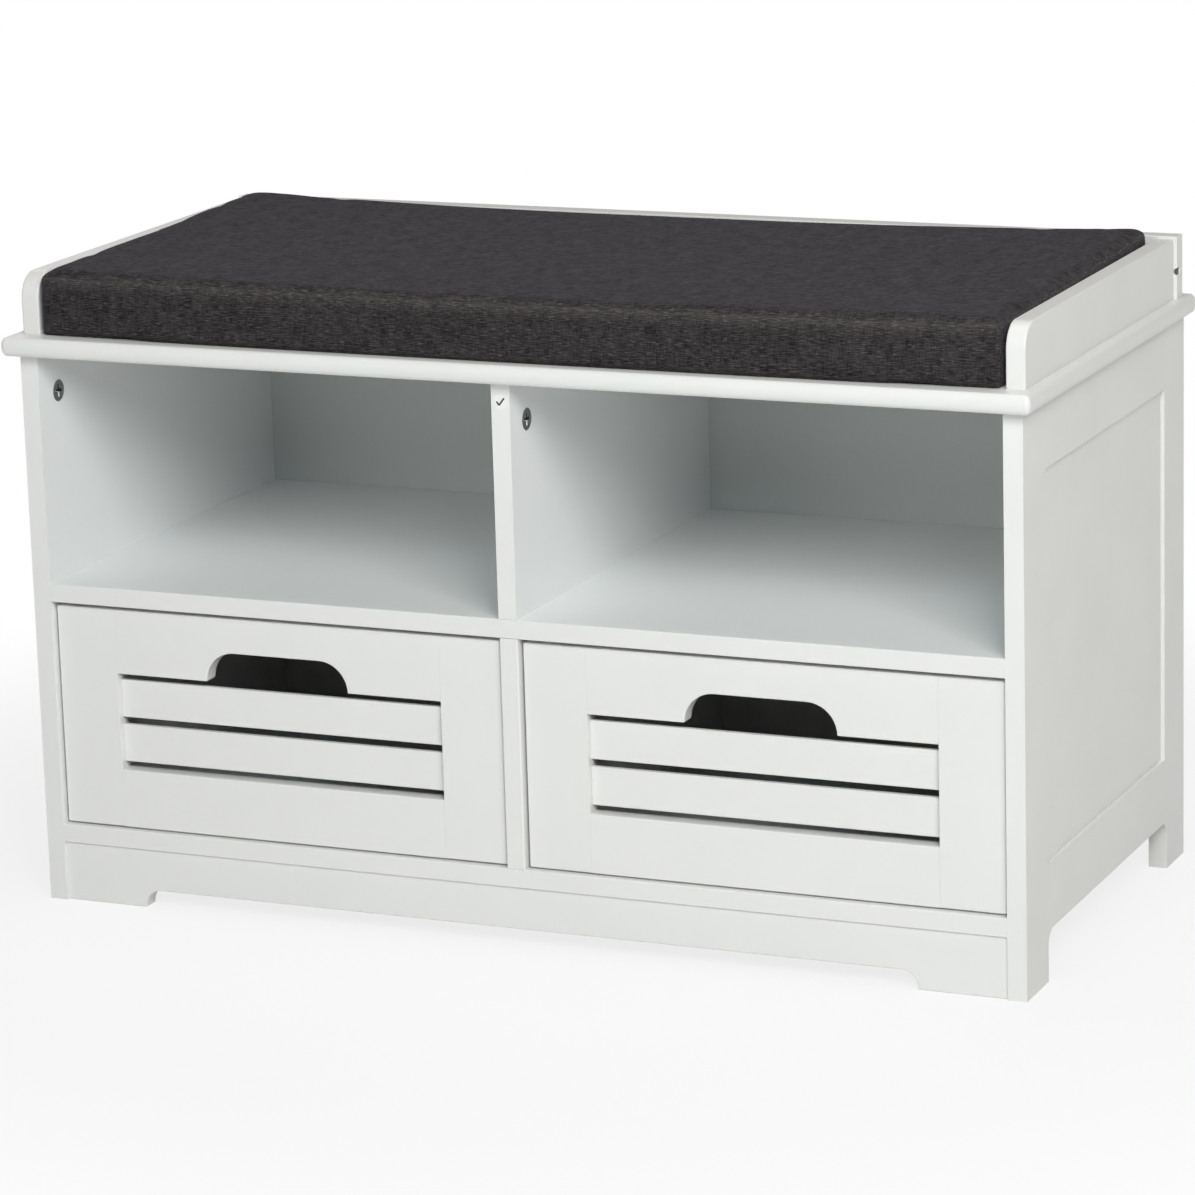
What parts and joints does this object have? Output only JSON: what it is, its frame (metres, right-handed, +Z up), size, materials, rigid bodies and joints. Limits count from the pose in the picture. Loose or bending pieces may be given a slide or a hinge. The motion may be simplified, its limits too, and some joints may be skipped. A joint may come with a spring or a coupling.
{
  "type": "entryway bench",
  "caption": "Low white storage bench for an entryway: a loose cushion inside a low rail, open cubbies, and slatted drawers with cut finger grips below.",
  "frame": {"origin": "on the floor, under the centre of the bench's bounding box", "axes": "+X to the right of someone facing the drawers, along the length; +Y to the rear; +Z up; the drawers face -Y"},
  "size_m": [0.84, 0.411, 0.5093],
  "materials": {
    "white_paint": "satin white paint on fibreboard",
    "white_hardboard": "thin white-faced hardboard",
    "grey_cloth": "charcoal woven cloth with lighter slubs",
    "zinc": "dull cast zinc"
  },
  "bodies": {
    "carcass": {"left_side_panel": "white_paint", "right_side_panel": "white_paint", "bottom_board": "white_paint", "shelf": "white_paint", "lower_divider": "white_paint", "upper_divider": "white_paint", "front_apron": "white_paint", "back_panel": "white_hardboard", "seat_board": "white_paint", "left_rail": "white_paint", "right_rail": "white_paint", "back_rail": "white_paint", "left_panel_front_cam": "zinc", "left_panel_rear_cam": "zinc", "right_panel_front_cam": "zinc", "right_panel_rear_cam": "zinc", "upper_divider_front_cam": "zinc", "upper_divider_rear_cam": "zinc", "left_panel_front_cam_bolt": "zinc", "left_panel_rear_cam_bolt": "zinc", "right_panel_front_cam_bolt": "zinc", "right_panel_rear_cam_bolt": "zinc", "upper_divider_front_cam_bolt": "zinc", "upper_divider_rear_cam_bolt": "zinc"},
    "left_drawer": {"left_drawer_left_stile": "white_paint", "left_drawer_right_stile": "white_paint", "left_drawer_top_rail": "white_paint", "left_drawer_slat_1": "white_paint", "left_drawer_slat_2": "white_paint", "left_drawer_bottom_rail": "white_paint", "left_drawer_left_side": "white_paint", "left_drawer_right_side": "white_paint", "left_drawer_back": "white_paint", "left_drawer_bottom": "white_hardboard"},
    "right_drawer": {"right_drawer_left_stile": "white_paint", "right_drawer_right_stile": "white_paint", "right_drawer_top_rail": "white_paint", "right_drawer_slat_1": "white_paint", "right_drawer_slat_2": "white_paint", "right_drawer_bottom_rail": "white_paint", "right_drawer_left_side": "white_paint", "right_drawer_right_side": "white_paint", "right_drawer_back": "white_paint", "right_drawer_bottom": "white_hardboard"},
    "cushion": {"seat_cushion": "grey_cloth"}
  },
  "joints": [
    {"name": "left_drawer_slide", "type": "slide", "parent": "carcass", "child": "left_drawer", "axis": [0, -1, 0], "range_m": [0, 0.27]},
    {"name": "right_drawer_slide", "type": "slide", "parent": "carcass", "child": "right_drawer", "axis": [0, -1, 0], "range_m": [0, 0.27]},
    {"name": "cushion_lift", "type": "slide", "parent": "carcass", "child": "cushion", "axis": [0, 0, 1], "range_m": [0, 0.08]}
  ]
}
